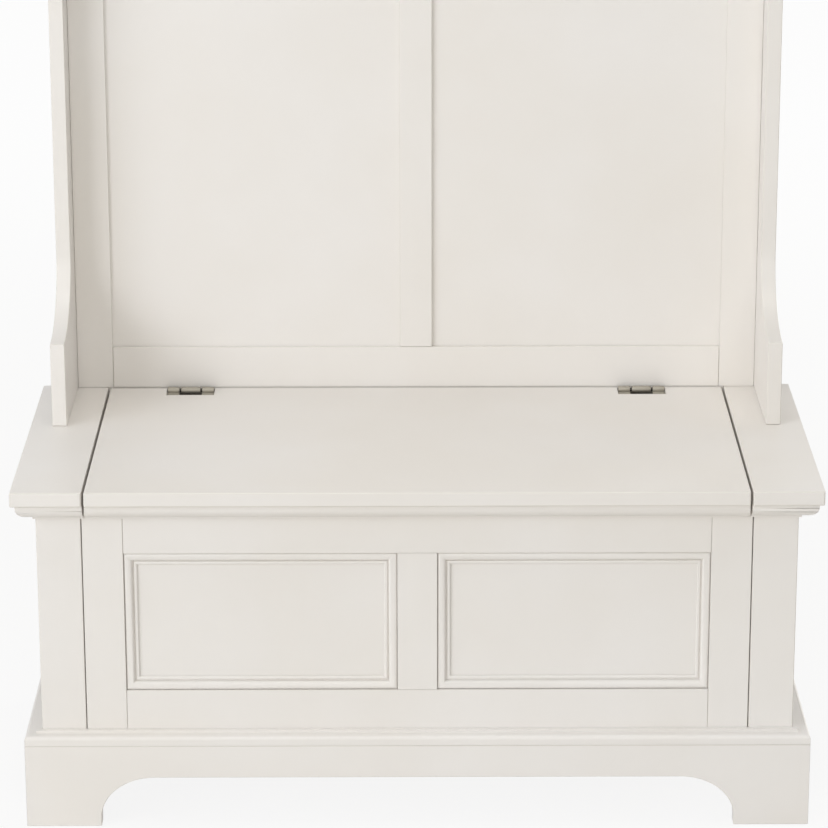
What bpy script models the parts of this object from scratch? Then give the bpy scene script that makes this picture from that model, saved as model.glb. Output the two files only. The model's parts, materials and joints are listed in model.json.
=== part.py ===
"""Hall tree: a storage bench with a hinged lid, and an upper back with coat hooks and a shelf.

Metres, +Z up. The origin is on the floor, at the middle of the width and depth. -Y is the front.
"""

import math

import bmesh
import bpy
from mathutils import Vector

# Clearances
FIT = 0.0003                    # between faces that touch
REVEAL = 0.0011                 # open joint between a front post and the front frame
LID_GAP = 0.003                 # open joint between the lid and a top board
LID_BACK_GAP = 0.002            # open joint behind the lid
LID_SEAT = 0.002                # height of the lid above the front frame
LID_MOULDING_CLEARANCE = 0.0008
NOTCH_CLEARANCE = 0.0008        # at the ends of a hinge in the lid's notch

# Bench top and lid
TOP_WIDTH = 1.030
TOP_DEPTH = 0.470
SEAT_HEIGHT = 0.4585
TOP_THICK = 0.019
TOP_OVERHANG = 0.0294
TOP_BOARD_WIDTH = 0.0907
TOP_MOULDING_HEIGHT = 0.0235
TOP_MOULDING_STEP = 0.006       # set-back of the moulding from the edge above it
TOP_MOULDING_LIP = 0.004        # upright parts below the board and at the foot
TOP_MOULDING_FILLET = 0.003     # how far the foot of the moulding stands out
BUMPER_LENGTH = 0.012
BUMPER_WIDTH = 0.010
BUMPER_INSET = 0.1213           # from the lid's end to the middle of a bumper

# Bench carcass
POST_WIDTH = 0.0573
POST_DEPTH = 0.045
REAR_POST_WIDTH = 0.045
FRONT_THICK = 0.020
SIDE_THICK = 0.020
STILE_WIDTH = 0.0519
MUNTIN_WIDTH = 0.051
TOP_RAIL_HEIGHT = 0.070
BOTTOM_RAIL_HEIGHT = 0.0953
RAIL_LIFT = 0.085               # lower edges of the bottom rails above the floor
HINGE_RAIL_HEIGHT = 0.060
PANEL_THICK = 0.006
PANEL_SETBACK = 0.008
GROOVE_DEPTH = 0.009
BACK_PANEL_THICK = 0.005
BACK_PANEL_SETBACK = 0.003
FLOOR_THICK = 0.009
FLOOR_GROOVE_DEPTH = 0.005
FLOOR_LIFT = 0.020              # underside of the floor panel above the bottom rails' lower edges

# Panel moulding
MOULDING_WIDTH = 0.0172
MOULDING_BAND = 0.011           # width of the rounded band next to the frame
MOULDING_CREST = 0.004          # from the frame to the band's highest line
MOULDING_SHOULDER = 0.0035      # height of the band's edge at the frame above the panel
MOULDING_RISE = 0.0072          # height of the band above the panel
MOULDING_STEP = 0.003           # height of the inner bead above the panel
MOULDING_QUIRK = 0.0012         # width of the groove between band and bead

# Plinth
PLINTH_HEIGHT = 0.1114
PLINTH_THICK = 0.0213
FOOT_LENGTH = 0.097
ARCH_RISE = 0.0675
FOOT_UPRIGHT = 0.012            # straight lower part of a foot's inner edge
ARCH_REACH = 0.070              # length of the curve from a foot to the arch's flat
BASE_MOULDING_HEIGHT = 0.0158
BASE_MOULDING_ROUND = 0.005     # radius of the upper front edge
BASE_MOULDING_FILLET = 0.0032   # upright edge of the ledge
BASE_MOULDING_LEDGE = 0.007     # flat in front of the bench's body

# Upper part
OVERALL_HEIGHT = 1.750
UPPER_SIDE_THICK = 0.0195
UPPER_BASE_DEPTH = 0.189
UPRIGHT_DEPTH = 0.066
LOWER_BLOCK_HEIGHT = 0.1135
UPPER_BLOCK_HEIGHT = 0.150
SWEEP_HEIGHT = 0.088
UPPER_PANEL_THICK = 0.007
UPPER_FRAME_THICK = 0.005
UPPER_STILE_WIDTH = 0.0485
CENTRE_STILE_WIDTH = 0.044
UPPER_RAIL_HEIGHT = 0.0578
HOOK_RAIL_HEIGHT = 0.220
HOOK_RAIL_THICK = 0.015
FASCIA_HEIGHT = 0.070
FASCIA_THICK = 0.018
SHELF_THICK = 0.019
SHELF_LIP = 0.006
CORNICE_HEIGHT = 0.045
CORNICE_PROJECTION = 0.022
CORNICE_FILLET = 0.004
DOWEL_RADIUS = 0.004
DOWEL_EDGE = 0.035              # from the back to the first dowel
DOWEL_SPACING = 0.115
DOWEL_SINK = 0.012              # length of a dowel on each side of its joint

# Hinges
HINGE_INSET = 0.1113            # from the lid's end to the middle of a hinge
HINGE_WIDTH = 0.0635
HINGE_STANDOFF = 0.0123         # axis in front of the upper back's face, level with the lid's upper face
CENTRE_KNUCKLE = 0.026
KNUCKLE_GAP = 0.0026
BARREL_RADIUS = 0.0042
LEAF_THICK = 0.0016
LEAF_INSET = 0.0002             # of a leaf's outer face from the barrel's side
LEAF_DROP = 0.0175              # from the axis to a frame leaf's lower edge
LEAF_REACH = 0.0222             # from the axis to a lid leaf's front edge
BARREL_NOTCH = 0.0107           # open space in front of a barrel
PIN_RADIUS = 0.0025
LEAF_SCREW_SPACING = 0.024

# Screws, each in one piece with the leaf or hook that it holds
SCREW_RADIUS = 0.0014
SCREW_LENGTH = 0.009            # under the piece that it holds

# Coat hooks
HOOK_COUNT = 4
HOOK_END = 0.1095               # from the hook rail's end to the middle of the first hook
HOOK_DROP = 0.066               # from the hook rail's lower edge to a hook's middle
HOOK_PLATE_WIDTH = 0.024
HOOK_PLATE_HEIGHT = 0.090
HOOK_PLATE_THICK = 0.004
HOOK_SCREW_SPACING = 0.068
PRONG_RADIUS = 0.0042
PRONG_TIP_RADIUS = 0.0034
UPPER_PRONG_REACH = 0.070
UPPER_PRONG_RISE = 0.036
UPPER_PRONG_SAG = 0.004
UPPER_KNOB_RADIUS = 0.0075
LOWER_PRONG_REACH = 0.034
LOWER_PRONG_RISE = 0.012
LOWER_PRONG_SAG = 0.006
LOWER_KNOB_RADIUS = 0.0055
PRONG_SPACING = 0.036           # between the roots of a hook's two prongs

# Facets of curved faces
ARC_STEPS = 10
SWEEP_STEPS = 24                # of the plinth's arches and the upper sides' sweeps
PRONG_STEPS = 6
BEAD_STEPS = 4
KNOB_STEPS = 5
KNOB_CLOSE = 75                 # degrees from a knob's waist to the flat on its end
ROUND_SIDES = 10
BARREL_SIDES = 16
SMOOTH_ANGLE = 35               # degrees between facets that are shaded as one round face

# Finishes: colour, roughness, metallic
PAINT = ((0.79, 0.77, 0.73, 1.0), 0.45, 0.0)
NICKEL = ((0.56, 0.53, 0.49, 1.0), 0.35, 1.0)
RUBBER = ((0.60, 0.58, 0.54, 1.0), 0.70, 0.0)

# Places that several pieces share
HALF_TOP = TOP_WIDTH / 2
FRONT_Y = -TOP_DEPTH / 2
BACK_Y = TOP_DEPTH / 2
BOARD_UNDER = SEAT_HEIGHT - TOP_THICK
CARCASS_TOP = BOARD_UNDER - FIT
BODY_HALF = HALF_TOP - TOP_OVERHANG
BODY_FRONT = FRONT_Y + TOP_OVERHANG
POST_INNER = BODY_HALF - POST_WIDTH
POST_BACK = BODY_FRONT + POST_DEPTH
REAR_POST_INNER = BODY_HALF - REAR_POST_WIDTH
REAR_POST_FRONT = BACK_Y - POST_DEPTH
FRAME_HALF = POST_INNER - REVEAL
FRAME_BACK = BODY_FRONT + FRONT_THICK
FRAME_TOP = BOARD_UNDER - LID_SEAT
TOP_RAIL_UNDER = FRAME_TOP - TOP_RAIL_HEIGHT
BOTTOM_RAIL_TOP = RAIL_LIFT + BOTTOM_RAIL_HEIGHT
STILE_INNER = FRAME_HALF - STILE_WIDTH
SIDE_INNER = BODY_HALF - SIDE_THICK
SEAT_INNER = HALF_TOP - TOP_BOARD_WIDTH
LID_HALF = SEAT_INNER - LID_GAP
HINGE_OFFSET = LID_HALF - HINGE_INSET
BUMPER_OFFSET = LID_HALF - BUMPER_INSET
UPPER_INNER = BODY_HALF - UPPER_SIDE_THICK
UPPER_BOTTOM = SEAT_HEIGHT + FIT
UPPER_FRAME_BACK = BACK_Y - UPPER_PANEL_THICK - FIT
UPPER_FACE = UPPER_FRAME_BACK - UPPER_FRAME_THICK
UPPER_STILE_INNER = UPPER_INNER - FIT - UPPER_STILE_WIDTH
LID_BACK = UPPER_FACE - LID_BACK_GAP
SHELF_UNDER = OVERALL_HEIGHT - SHELF_THICK
UPPER_TOP = SHELF_UNDER - FIT
UPPER_FRONT = BACK_Y - UPPER_BASE_DEPTH
HOOK_RAIL_UNDER = UPPER_TOP - HOOK_RAIL_HEIGHT
HOOK_RAIL_FACE = UPPER_FRAME_BACK - HOOK_RAIL_THICK
FLOOR_UNDER = RAIL_LIFT + FLOOR_LIFT
BACK_GROOVE = (UPPER_FACE + BACK_PANEL_SETBACK, UPPER_FACE + BACK_PANEL_SETBACK + BACK_PANEL_THICK)
FRONT_GROOVE = (BODY_FRONT + PANEL_SETBACK, BODY_FRONT + PANEL_SETBACK + PANEL_THICK)
SIDE_GROOVE = (BODY_HALF - PANEL_SETBACK - PANEL_THICK, BODY_HALF - PANEL_SETBACK)
TONGUE = GROOVE_DEPTH - FIT
MITRE_PULL = FIT * math.sqrt(0.5)
HINGE_Y = UPPER_FACE - HINGE_STANDOFF
HINGE_Z = SEAT_HEIGHT
FRAME_LEAF_BACK = UPPER_FACE - FIT
FRAME_LEAF_UNDER = HINGE_Z - LEAF_DROP
TAIL_UNDER = HINGE_Z - BARREL_RADIUS + LEAF_INSET
TAIL_TOP = TAIL_UNDER + LEAF_THICK
LID_LEAF_FRONT = HINGE_Y - LEAF_REACH
NOTCH_FRONT = HINGE_Y - BARREL_RADIUS - BARREL_NOTCH
SIDES = {"left": -1, "right": 1}


def clear_scene():
    for old in list(bpy.data.objects):
        bpy.data.objects.remove(old, do_unlink=True)


def finish_object(obj, finish):
    """Give a piece its own material."""
    colour, roughness, metallic = finish
    material = bpy.data.materials.new(obj.name)
    material.use_nodes = True
    shader = material.node_tree.nodes["Principled BSDF"]
    shader.inputs["Base Color"].default_value = colour
    shader.inputs["Roughness"].default_value = roughness
    shader.inputs["Metallic"].default_value = metallic
    obj.data.materials.clear()
    obj.data.materials.append(material)


def add_object(name, mesh_builder, finish):
    """Turn a filled bmesh into a named object with outward faces."""
    bmesh.ops.recalc_face_normals(mesh_builder, faces=mesh_builder.faces)
    mesh = bpy.data.meshes.new(name)
    mesh_builder.to_mesh(mesh)
    mesh_builder.free()
    obj = bpy.data.objects.new(name, mesh)
    bpy.context.collection.objects.link(obj)
    finish_object(obj, finish)
    return obj


def box(x, y, z):
    """A box from three pairs of limits, in any order."""
    return tuple(sorted(x)), tuple(sorted(y)), tuple(sorted(z))


def grow(solid, by):
    return tuple((low - by, high + by) for low, high in solid)


def inside(point, solid):
    return all(low < value < high for value, (low, high) in zip(point, solid))


def block(name, finish, add, cut=()):
    """A squared piece of wood: the boxes in add joined, less the boxes in cut."""
    grid = []
    for axis in range(3):
        limits = sorted({round(value, 7) for solid in [*add, *cut] for value in solid[axis]})
        grid.append(limits)
    counts = [len(limits) - 1 for limits in grid]
    cells = set()
    for i in range(counts[0]):
        for j in range(counts[1]):
            for k in range(counts[2]):
                index = (i, j, k)
                middle = [(grid[a][index[a]] + grid[a][index[a] + 1]) / 2 for a in range(3)]
                if any(inside(middle, solid) for solid in add):
                    if not any(inside(middle, solid) for solid in cut):
                        cells.add(index)
    builder = bmesh.new()
    corners = {}

    def corner(index):
        if index not in corners:
            corners[index] = builder.verts.new([grid[a][index[a]] for a in range(3)])
        return corners[index]

    for cell in cells:
        for axis in range(3):
            for step in (-1, 1):
                beside = list(cell)
                beside[axis] += step
                if tuple(beside) in cells:
                    continue
                base = list(cell)
                base[axis] += (step + 1) // 2
                first, second = (axis + 1) % 3, (axis + 2) % 3
                face = []
                for u, v in ((0, 0), (1, 0), (1, 1), (0, 1)):
                    at = list(base)
                    at[first] += u
                    at[second] += v
                    face.append(corner(tuple(at)))
                builder.faces.new(face if step > 0 else face[::-1])
    flat = math.radians(0.1)
    bmesh.ops.dissolve_limit(builder, angle_limit=flat, verts=builder.verts, edges=builder.edges)
    return add_object(name, builder, finish)


def fill_loft(builder, sections, closed=False):
    """Skin matching outlines in order, with end caps unless the last meets the first."""
    rings = [[builder.verts.new(point) for point in section] for section in sections]
    pairs = list(zip(rings, rings[1:]))
    if closed:
        pairs.append((rings[-1], rings[0]))
    for near, far in pairs:
        for i in range(len(near)):
            j = (i + 1) % len(near)
            builder.faces.new((near[i], near[j], far[j], far[i]))
    if not closed:
        builder.faces.new(rings[0][::-1])
        builder.faces.new(rings[-1])


def loft(name, finish, sections, closed=False):
    builder = bmesh.new()
    fill_loft(builder, sections, closed)
    return add_object(name, builder, finish)


def arc(centre, radii, start, end, steps=ARC_STEPS):
    """Points on an ellipse between two angles in degrees."""
    points = []
    for i in range(steps + 1):
        angle = math.radians(start + (end - start) * i / steps)
        points.append((centre[0] + radii[0] * math.cos(angle), centre[1] + radii[1] * math.sin(angle)))
    return points


def turned(start, direction, profile, sides=ROUND_SIDES):
    """Sections of a round piece: profile gives (distance along, radius) from the start point."""
    direction = Vector(direction).normalized()
    across = Vector((1, 0, 0)) if abs(direction.x) < 0.5 else Vector((0, 0, 1))
    other = direction.cross(across)
    sections = []
    for distance, radius in profile:
        middle = Vector(start) + direction * distance
        ring = []
        for i in range(sides):
            angle = 2 * math.pi * (i + 0.5) / sides
            ring.append(middle + across * (radius * math.cos(angle)) + other * (radius * math.sin(angle)))
        sections.append(ring)
    return sections


def combine(obj, operation, solids):
    """Cut solids from a piece, or join them to it, and keep the result as its mesh."""
    finish = obj.data.materials[0]
    for sections in solids:
        builder = bmesh.new()
        fill_loft(builder, sections)
        tool = add_object(obj.name + "_tool", builder, PAINT)
        change = obj.modifiers.new("combine", "BOOLEAN")
        change.operation = operation
        change.solver = "EXACT"
        change.object = tool
        graph = bpy.context.evaluated_depsgraph_get()
        mesh = bpy.data.meshes.new_from_object(obj.evaluated_get(graph))
        obj.modifiers.clear()
        obj.data = mesh
        bpy.data.objects.remove(tool, do_unlink=True)
    obj.data.materials.clear()
    obj.data.materials.append(finish)


def screw(start, direction, grip, clearance=0.0):
    """A screw's shank from the middle of a piece of thickness grip, or its pilot hole."""
    reach = grip / 2 + FIT + SCREW_LENGTH + clearance
    radius = SCREW_RADIUS + clearance
    return turned(start, direction, [(0.0, radius), (reach - radius, radius), (reach, radius / 2)])


def both(name, side_name):
    return f"{name}_{side_name}"


def arch_outline(start, end, first_foot, last_foot):
    """A plinth board from its face: two feet and a low arch between them."""
    radii = (ARCH_REACH, ARCH_RISE - FOOT_UPRIGHT)
    rise = arc((first_foot + ARCH_REACH, FOOT_UPRIGHT), radii, 180, 90, SWEEP_STEPS)
    fall = arc((last_foot - ARCH_REACH, FOOT_UPRIGHT), radii, 90, 0, SWEEP_STEPS)
    outline = [(start, PLINTH_HEIGHT), (start, 0.0), (first_foot, 0.0)]
    outline += rise + fall
    return outline + [(last_foot, 0.0), (end, 0.0), (end, PLINTH_HEIGHT)]


def mitred_front(name, profile, half, face):
    """A moulding along a front face, from (distance out, height) points, mitred at both ends."""
    sections = []
    for side in (-1, 1):
        ring = [(side * (half + out - MITRE_PULL), face - out, z) for out, z in profile]
        sections.append(ring)
    return loft(name, PAINT, sections)


def mitred_sides(name, profile, half, face):
    """The same moulding along both side faces, mitred in front and square at the back."""
    for side_name, side in SIDES.items():
        front = [(side * (half + out), face - out + MITRE_PULL, z) for out, z in profile]
        back = [(side * (half + out), BACK_Y, z) for out, z in profile]
        loft(both(name, side_name), PAINT, [front, back])


def build_plinth():
    outer_front = BODY_FRONT - FIT - PLINTH_THICK
    outer_side = BODY_HALF + FIT + PLINTH_THICK
    foot = outer_side - FOOT_LENGTH
    sections = []
    for depth in (PLINTH_THICK, 0.0):
        half = BODY_HALF + FIT + depth - MITRE_PULL
        outline = arch_outline(-half, half, -foot, foot)
        sections.append([(x, BODY_FRONT - FIT - depth, z) for x, z in outline])
    loft("plinth_front", PAINT, sections)
    for side_name, side in SIDES.items():
        sections = []
        for depth in (PLINTH_THICK, 0.0):
            start = BODY_FRONT - FIT - depth + MITRE_PULL
            outline = arch_outline(start, BACK_Y, outer_front + FOOT_LENGTH, BACK_Y - FOOT_LENGTH)
            sections.append([(side * (BODY_HALF + FIT + depth), y, z) for y, z in outline])
        loft(both("plinth", side_name), PAINT, sections)


def build_base_moulding():
    under = PLINTH_HEIGHT + FIT
    top = under + BASE_MOULDING_HEIGHT
    outer = FIT + PLINTH_THICK
    ledge = FIT + BASE_MOULDING_LEDGE
    step = top - BASE_MOULDING_FILLET
    centre = (outer - BASE_MOULDING_ROUND, step - BASE_MOULDING_ROUND)
    profile = [(FIT, under), (FIT, top), (ledge, top), (ledge, step)]
    profile += arc(centre, (BASE_MOULDING_ROUND, BASE_MOULDING_ROUND), 90, 0)
    profile.append((outer, under))
    mitred_front("base_moulding_front", profile, BODY_HALF, BODY_FRONT)
    mitred_sides("base_moulding", profile, BODY_HALF, BODY_FRONT)


def post_box(side, inner, y):
    return box((side * inner, side * BODY_HALF), y, (0.0, CARCASS_TOP))


def build_posts():
    groove_z = (RAIL_LIFT - FIT, SEAT_HEIGHT)
    for side_name, side in SIDES.items():
        groove_x = (side * (SIDE_GROOVE[0] - FIT), side * (SIDE_GROOVE[1] + FIT))
        front = post_box(side, POST_INNER, (BODY_FRONT, POST_BACK))
        side_slot = box(groove_x, (POST_BACK - GROOVE_DEPTH, POST_BACK + FIT), groove_z)
        block(both("front_post", side_name), PAINT, [front], [side_slot])
        rear = post_box(side, REAR_POST_INNER, (REAR_POST_FRONT, BACK_Y))
        side_slot = box(groove_x, (REAR_POST_FRONT - FIT, REAR_POST_FRONT + GROOVE_DEPTH), groove_z)
        slot_x = (side * (REAR_POST_INNER - FIT), side * (REAR_POST_INNER + GROOVE_DEPTH))
        back_slot = box(slot_x, (BACK_GROOVE[0] - FIT, BACK_GROOVE[1] + FIT), groove_z)
        block(both("rear_post", side_name), PAINT, [rear], [side_slot, back_slot])


def build_side_frames():
    rail_y = (POST_BACK + FIT, REAR_POST_FRONT - FIT)
    tongue_y = (POST_BACK - TONGUE, REAR_POST_FRONT + TONGUE)
    for side_name, side in SIDES.items():
        face_x = (side * SIDE_INNER, side * BODY_HALF)
        tongue_x = (side * SIDE_GROOVE[0], side * SIDE_GROOVE[1])
        slot_x = (side * (SIDE_GROOVE[0] - FIT), side * (SIDE_GROOVE[1] + FIT))
        top_z = (TOP_RAIL_UNDER, CARCASS_TOP)
        slot = box(slot_x, tongue_y, (TOP_RAIL_UNDER - FIT, TOP_RAIL_UNDER + GROOVE_DEPTH))
        solids = [box(face_x, rail_y, top_z), box(tongue_x, tongue_y, top_z)]
        block(both("side_top_rail", side_name), PAINT, solids, [slot])
        low_z = (RAIL_LIFT, BOTTOM_RAIL_TOP)
        slot = box(slot_x, tongue_y, (BOTTOM_RAIL_TOP - GROOVE_DEPTH, BOTTOM_RAIL_TOP + FIT))
        solids = [box(face_x, rail_y, low_z), box(tongue_x, tongue_y, low_z)]
        block(both("side_bottom_rail", side_name), PAINT, solids, [slot])
        panel_z = (BOTTOM_RAIL_TOP - TONGUE, TOP_RAIL_UNDER + TONGUE)
        block(both("side_panel", side_name), PAINT, [box(tongue_x, tongue_y, panel_z)])


def build_front_frame():
    frame_y = (BODY_FRONT, FRAME_BACK)
    slot_y = (FRONT_GROOVE[0] - FIT, FRONT_GROOVE[1] + FIT)
    frame_z = (RAIL_LIFT, FRAME_TOP)
    for side_name, side in SIDES.items():
        stile = box((side * STILE_INNER, side * FRAME_HALF), frame_y, frame_z)
        slot_x = (side * (STILE_INNER - FIT), side * (STILE_INNER + GROOVE_DEPTH))
        slot = box(slot_x, slot_y, (RAIL_LIFT - FIT, FRAME_TOP + FIT))
        block(both("front_stile", side_name), PAINT, [stile], [slot])
    rail_x = (-STILE_INNER + FIT, STILE_INNER - FIT)
    tongue_x = (-STILE_INNER - TONGUE, STILE_INNER + TONGUE)
    top_z = (TOP_RAIL_UNDER, FRAME_TOP)
    slot = box(tongue_x, slot_y, (TOP_RAIL_UNDER - FIT, TOP_RAIL_UNDER + GROOVE_DEPTH))
    solids = [box(rail_x, frame_y, top_z), box(tongue_x, FRONT_GROOVE, top_z)]
    block("front_top_rail", PAINT, solids, [slot])
    low_z = (RAIL_LIFT, BOTTOM_RAIL_TOP)
    slot = box(tongue_x, slot_y, (BOTTOM_RAIL_TOP - GROOVE_DEPTH, BOTTOM_RAIL_TOP + FIT))
    floor_slot_y = (FRAME_BACK - FLOOR_GROOVE_DEPTH, FRAME_BACK + FIT)
    floor_slot = box(tongue_x, floor_slot_y, (FLOOR_UNDER - FIT, FLOOR_UNDER + FLOOR_THICK + FIT))
    solids = [box(rail_x, frame_y, low_z), box(tongue_x, FRONT_GROOVE, low_z)]
    block("front_bottom_rail", PAINT, solids, [slot, floor_slot])
    half = MUNTIN_WIDTH / 2
    muntin_z = (BOTTOM_RAIL_TOP + FIT, TOP_RAIL_UNDER - FIT)
    tongue_z = (BOTTOM_RAIL_TOP - TONGUE, TOP_RAIL_UNDER + TONGUE)
    slots = []
    for side in (-1, 1):
        slots.append(box((side * (half - GROOVE_DEPTH), side * (half + FIT)), slot_y, tongue_z))
    solids = [box((-half, half), frame_y, muntin_z), box((-half, half), FRONT_GROOVE, tongue_z)]
    block("front_muntin", PAINT, solids, slots)
    for side_name, side in SIDES.items():
        panel_x = (side * (half - TONGUE), side * (STILE_INNER + TONGUE))
        block(both("front_panel", side_name), PAINT, [box(panel_x, FRONT_GROOVE, tongue_z)])


def moulding_profile():
    """Panel moulding as (distance from the frame's edge, height above the panel)."""
    outer_radii = (MOULDING_CREST - FIT, MOULDING_RISE - MOULDING_SHOULDER)
    inner_radii = (MOULDING_BAND - MOULDING_CREST, MOULDING_RISE - MOULDING_STEP)
    quirk_end = MOULDING_BAND + MOULDING_QUIRK
    quirk_floor = MOULDING_STEP / 4
    bead_half = (MOULDING_WIDTH - quirk_end) / 2
    bead_radii = (bead_half, MOULDING_STEP - quirk_floor)
    profile = [(FIT, FIT)]
    profile += arc((MOULDING_CREST, MOULDING_SHOULDER), outer_radii, 180, 90, BEAD_STEPS)
    profile += arc((MOULDING_CREST, MOULDING_STEP), inner_radii, 90, 0, ARC_STEPS // 2)[1:]
    profile.append((MOULDING_BAND, quirk_floor))
    profile += arc((quirk_end + bead_half, quirk_floor), bead_radii, 180, 0, 2 * BEAD_STEPS)
    profile.append((MOULDING_WIDTH, FIT))
    return profile


def build_panel_mouldings():
    profile = moulding_profile()
    for side_name, side in SIDES.items():
        edges_x = sorted((side * MUNTIN_WIDTH / 2, side * STILE_INNER))
        sections = []
        for x_end, z_end in ((0, 0), (1, 0), (1, 1), (0, 1)):
            x = edges_x[x_end]
            z = (BOTTOM_RAIL_TOP, TOP_RAIL_UNDER)[z_end]
            ring = []
            for across, rise in profile:
                inward_x = x + across * (1 - 2 * x_end)
                inward_z = z + across * (1 - 2 * z_end)
                ring.append((inward_x, FRONT_GROOVE[0] - rise, inward_z))
            sections.append(ring)
        loft(both("panel_moulding", side_name), PAINT, sections, closed=True)


def build_back_and_floor():
    rail_y = (UPPER_FACE, BACK_Y)
    slot_y = (BACK_GROOVE[0] - FIT, BACK_GROOVE[1] + FIT)
    wide = REAR_POST_INNER - FIT
    tongue_x = (-REAR_POST_INNER - TONGUE, REAR_POST_INNER + TONGUE)
    neck = min(SEAT_INNER, REAR_POST_INNER) - FIT
    under = SEAT_HEIGHT - HINGE_RAIL_HEIGHT
    seat = SEAT_INNER - FIT
    solids = [
        box((-wide, wide), rail_y, (under, CARCASS_TOP)),
        box(tongue_x, BACK_GROOVE, (under, CARCASS_TOP)),
        box((-neck, neck), rail_y, (under, BOARD_UNDER)),
        box((-seat, seat), rail_y, (BOARD_UNDER, SEAT_HEIGHT)),
    ]
    slot = box(tongue_x, slot_y, (under - FIT, under + GROOVE_DEPTH))
    block("hinge_rail", PAINT, solids, [slot])
    low_z = (RAIL_LIFT, BOTTOM_RAIL_TOP)
    solids = [box((-wide, wide), rail_y, low_z), box(tongue_x, BACK_GROOVE, low_z)]
    slot = box(tongue_x, slot_y, (BOTTOM_RAIL_TOP - GROOVE_DEPTH, BOTTOM_RAIL_TOP + FIT))
    floor_z = (FLOOR_UNDER, FLOOR_UNDER + FLOOR_THICK)
    floor_slot_y = (UPPER_FACE - FIT, UPPER_FACE + FLOOR_GROOVE_DEPTH)
    floor_slot = box(tongue_x, floor_slot_y, (floor_z[0] - FIT, floor_z[1] + FIT))
    block("back_bottom_rail", PAINT, solids, [slot, floor_slot])
    panel_z = (BOTTOM_RAIL_TOP - TONGUE, under + TONGUE)
    block("bench_back_panel", PAINT, [box(tongue_x, BACK_GROOVE, panel_z)])
    tongue = FLOOR_GROOVE_DEPTH - FIT
    floor_half = SIDE_INNER - FIT
    front_half = STILE_INNER - 2 * FIT
    back_half = wide - FIT
    solids = [
        box((-floor_half, floor_half), (FRAME_BACK + FIT, UPPER_FACE - FIT), floor_z),
        box((-front_half, front_half), (FRAME_BACK - tongue, FRAME_BACK + FIT), floor_z),
        box((-back_half, back_half), (UPPER_FACE - FIT, UPPER_FACE + tongue), floor_z),
    ]
    corners = []
    for side in (-1, 1):
        corners.append(grow(post_box(side, POST_INNER, (BODY_FRONT, POST_BACK)), FIT))
        corners.append(grow(post_box(side, REAR_POST_INNER, (REAR_POST_FRONT, BACK_Y)), FIT))
    block("floor_panel", PAINT, solids, corners)


def top_profile(inner):
    """Moulding under the top's edge as (distance out of the body's face, height)."""
    top = BOARD_UNDER - FIT
    under = top - TOP_MOULDING_HEIGHT
    outer = TOP_OVERHANG - TOP_MOULDING_STEP
    foot = inner + TOP_MOULDING_FILLET
    radii = (outer - foot, TOP_MOULDING_HEIGHT - 2 * TOP_MOULDING_LIP)
    profile = [(inner, under), (inner, top), (outer, top)]
    profile += arc((foot, top - TOP_MOULDING_LIP), radii, 0, -90)
    profile.append((foot, under))
    return profile


def build_top():
    board_z = (BOARD_UNDER, SEAT_HEIGHT)
    profile = top_profile(FIT)
    for side_name, side in SIDES.items():
        board = box((side * SEAT_INNER, side * HALF_TOP), (FRONT_Y, BACK_Y), board_z)
        top = block(both("top_board", side_name), PAINT, [board])
        combine(top, "DIFFERENCE", dowels(side, SEAT_HEIGHT, FIT))
        sections = [
            [(side * SEAT_INNER, BODY_FRONT - out, z) for out, z in profile],
            [(side * (BODY_HALF + out), BODY_FRONT - out, z) for out, z in profile],
            [(side * (BODY_HALF + out), BACK_Y, z) for out, z in profile],
        ]
        loft(both("top_moulding", side_name), PAINT, sections)


def dowels(side, joint, clearance=0.0):
    """The two dowels of an upper side's end at the height joint, or their holes."""
    x = side * (UPPER_INNER + BODY_HALF) / 2
    first = BACK_Y - DOWEL_EDGE
    reach = DOWEL_SINK + clearance
    profile = [(-reach, DOWEL_RADIUS + clearance), (reach, DOWEL_RADIUS + clearance)]
    places = [(x, y, joint) for y in (first, first - DOWEL_SPACING)]
    return [turned(place, (0, 0, 1), profile) for place in places]


def side_outline():
    """An upper side from the side: deep blocks, swept into a slim upright between them."""
    radii = (UPPER_BASE_DEPTH - UPRIGHT_DEPTH, SWEEP_HEIGHT)
    low = UPPER_BOTTOM + LOWER_BLOCK_HEIGHT + SWEEP_HEIGHT
    high = UPPER_TOP - UPPER_BLOCK_HEIGHT - SWEEP_HEIGHT
    outline = [(BACK_Y, UPPER_BOTTOM), (UPPER_FRONT, UPPER_BOTTOM)]
    outline += arc((UPPER_FRONT, low), radii, 270, 360, SWEEP_STEPS)
    outline += arc((UPPER_FRONT, high), radii, 0, 90, SWEEP_STEPS)
    return outline + [(UPPER_FRONT, UPPER_TOP), (BACK_Y, UPPER_TOP)]


def build_upper():
    frame_y = (UPPER_FACE, UPPER_FRAME_BACK)
    upper_z = (UPPER_BOTTOM, UPPER_TOP)
    for side_name, side in SIDES.items():
        outline = side_outline()
        sections = [[(side * x, y, z) for y, z in outline] for x in (UPPER_INNER, BODY_HALF)]
        upright = loft(both("upper_side", side_name), PAINT, sections)
        combine(upright, "UNION", dowels(side, SEAT_HEIGHT) + dowels(side, SHELF_UNDER))
        stile_x = (side * UPPER_STILE_INNER, side * (UPPER_INNER - FIT))
        block(both("upper_stile", side_name), PAINT, [box(stile_x, frame_y, upper_z)])
    half = UPPER_INNER - FIT
    block("upper_back_panel", PAINT, [box((-half, half), (BACK_Y - UPPER_PANEL_THICK, BACK_Y), upper_z)])
    rail_half = UPPER_STILE_INNER - FIT
    rail_x = (-rail_half, rail_half)
    rail_top = SEAT_HEIGHT + UPPER_RAIL_HEIGHT
    block("upper_bottom_rail", PAINT, [box(rail_x, frame_y, (UPPER_BOTTOM, rail_top))])
    half = CENTRE_STILE_WIDTH / 2
    stile_z = (rail_top + FIT, HOOK_RAIL_UNDER - FIT)
    block("upper_centre_stile", PAINT, [box((-half, half), frame_y, stile_z)])


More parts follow.
